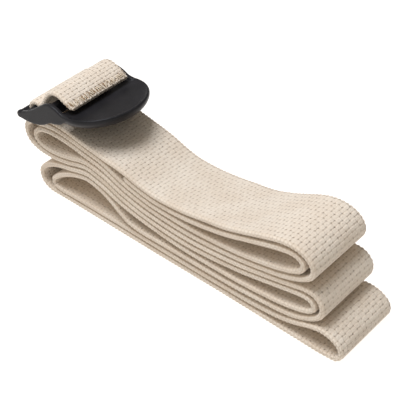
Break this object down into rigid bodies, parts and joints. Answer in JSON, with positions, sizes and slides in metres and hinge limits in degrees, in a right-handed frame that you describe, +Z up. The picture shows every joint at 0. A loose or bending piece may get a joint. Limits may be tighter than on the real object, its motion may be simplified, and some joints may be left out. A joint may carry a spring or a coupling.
{
  "type": "strap tourniquet",
  "caption": "Cotton webbing strap tourniquet, doubled and folded into a flat stack, with a moulded cinch buckle and D-shaped thumb plate on its top run.",
  "frame": {"origin": "on the ground under the middle of the folded strap's outline", "axes": "+X along the folded strap, away from the buckle; +Y across the webbing; +Z up"},
  "size_m": [0.1959, 0.0464, 0.0652],
  "materials": {
    "cotton_webbing": "matte",
    "black_plastic": "satin",
    "thread": "matte"
  },
  "bodies": {
    "base": {"base_run": "cotton_webbing"},
    "fourth_run": {"fourth_run_lower": "cotton_webbing", "fourth_run_upper": "cotton_webbing"},
    "third_run": {"third_run_lower": "cotton_webbing", "third_run_upper": "cotton_webbing"},
    "second_run": {"second_run_lower": "cotton_webbing", "second_run_upper": "cotton_webbing"},
    "top_run": {"top_run_upper": "cotton_webbing", "top_run_lower": "cotton_webbing", "free_end_stitching": "thread"},
    "cinch": {"buckle": "black_plastic", "threaded_end": "cotton_webbing", "cut_end_stitching": "thread"}
  },
  "joints": [
    {"name": "low_left_fold", "type": "hinge", "parent": "base", "child": "fourth_run", "pos_m": [-0.09025, 0, 0.0076], "axis": [0, -1, 0], "range_deg": [0, 90]},
    {"name": "low_right_fold", "type": "hinge", "parent": "fourth_run", "child": "third_run", "pos_m": [0.08615, 0, 0.0239], "axis": [0, 1, 0], "range_deg": [0, 120]},
    {"name": "high_left_fold", "type": "hinge", "parent": "third_run", "child": "second_run", "pos_m": [-0.09785, 0, 0.0319], "axis": [0, -1, 0], "range_deg": [0, 90]},
    {"name": "high_right_fold", "type": "hinge", "parent": "second_run", "child": "top_run", "pos_m": [0.08025, 0, 0.0439], "axis": [0, 1, 0], "range_deg": [0, 120]},
    {"name": "buckle_lift", "type": "hinge", "parent": "top_run", "child": "cinch", "pos_m": [-0.0953, 0, 0.0444], "axis": [0, -1, 0], "range_deg": [0, 100]}
  ]
}
